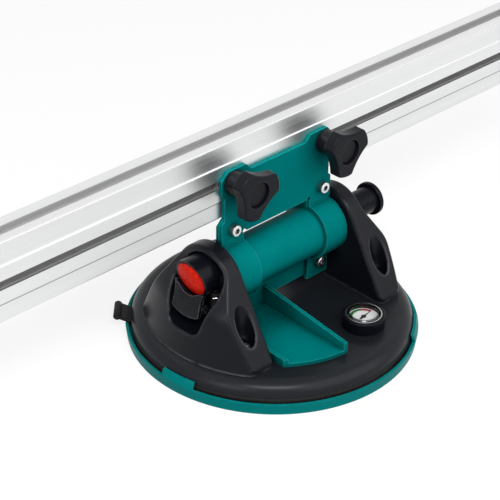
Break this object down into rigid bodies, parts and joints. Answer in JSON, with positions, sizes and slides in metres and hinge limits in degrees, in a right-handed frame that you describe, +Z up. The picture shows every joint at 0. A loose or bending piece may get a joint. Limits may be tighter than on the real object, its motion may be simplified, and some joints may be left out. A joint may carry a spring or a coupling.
{
  "type": "tile carrying frame",
  "caption": "Slotted aluminium carrying rail for large tiles, clamped by lobed knobs to a vacuum cup with a pump handle, release button, lever and gauge.",
  "frame": {"origin": "centre of the cup, on the face of the pad cover that stands on the ground", "axes": "+X along the handle and the rail towards the pump, +Y towards the rail, +Z up"},
  "size_m": [0.6, 0.216, 0.1704],
  "materials": {
    "teal_paint": "smooth powder coat",
    "teal_plastic": "moulded",
    "black_plastic": "fine moulded grain",
    "black_rubber": "soft matt",
    "red_plastic": "fine moulded grain",
    "aluminium": "drawn and anodised",
    "steel": "bright zinc",
    "chrome": "polished",
    "brass": "turned",
    "white_dial": "printed scale",
    "needle_paint": "satin",
    "lens": "clear"
  },
  "bodies": {
    "cup": {"pad_cover": "teal_plastic", "rubber_pad": "black_rubber", "base_body": "black_plastic", "tower_left": "black_plastic", "tower_right": "black_plastic", "tower_screws": "steel", "handle_tube": "teal_paint", "front_plate": "teal_paint", "back_plate": "teal_paint", "clamp_screws": "chrome", "clamp_nuts": "steel", "valve_housing": "black_plastic", "button_spring": "steel", "lever_pin": "steel", "vacuum_hose": "black_rubber", "hose_clip": "chrome", "pump_head": "black_plastic", "check_valve": "brass", "return_spring": "steel", "gauge_case": "black_plastic", "gauge_bezel": "chrome", "gauge_dial": "white_dial", "gauge_lens": "lens", "knob_left_nut": "steel", "knob_right_nut": "steel"},
    "rail": {"rail_profile": "aluminium"},
    "knob_left": {"knob_left_body": "black_plastic", "knob_left_cap": "black_plastic", "knob_left_stud": "steel"},
    "knob_right": {"knob_right_body": "black_plastic", "knob_right_cap": "black_plastic", "knob_right_stud": "steel"},
    "plunger": {"plunger_rod": "black_plastic", "plunger_cap": "black_plastic", "pump_piston": "black_plastic", "piston_seal": "black_rubber"},
    "button": {"release_button": "red_plastic"},
    "lever": {"release_lever": "black_plastic"},
    "needle": {"gauge_needle": "needle_paint"}
  },
  "joints": [
    {"name": "rail_slide", "type": "slide", "parent": "cup", "child": "rail", "axis": [1, 0, 0], "range_m": [-0.235, 0.235]},
    {"name": "knob_left_turn", "type": "hinge", "parent": "cup", "child": "knob_left", "pos_m": [-0.0433, 0, 0.1409], "axis": [0, 1, 0], "continuous": true},
    {"name": "knob_right_turn", "type": "hinge", "parent": "cup", "child": "knob_right", "pos_m": [0.0455, 0, 0.1409], "axis": [0, 1, 0], "continuous": true},
    {"name": "plunger_press", "type": "slide", "parent": "cup", "child": "plunger", "axis": [-1, 0, 0], "range_m": [0, 0.02], "stiffness_N_per_m": 400, "springref_m": -0.01, "deforming": ["return_spring"]},
    {"name": "button_press", "type": "slide", "parent": "cup", "child": "button", "axis": [1, 0, 0], "range_m": [0, 0.003], "stiffness_N_per_m": 500, "springref_m": -0.002, "deforming": ["button_spring"]},
    {"name": "lever_press", "type": "hinge", "parent": "cup", "child": "lever", "pos_m": [-0.072, 0, 0.0507], "axis": [0, -1, 0], "range_deg": [0, 12], "stiffness_Nm_per_rad": 0.6, "springref_deg": -5.73},
    {"name": "needle_turn", "type": "hinge", "parent": "cup", "child": "needle", "pos_m": [0.0274, -0.0655, 0.0284], "axis": [0, 0, 1], "range_deg": [0, 141], "stiffness_Nm_per_rad": 0.0005, "springref_deg": -2.86}
  ]
}
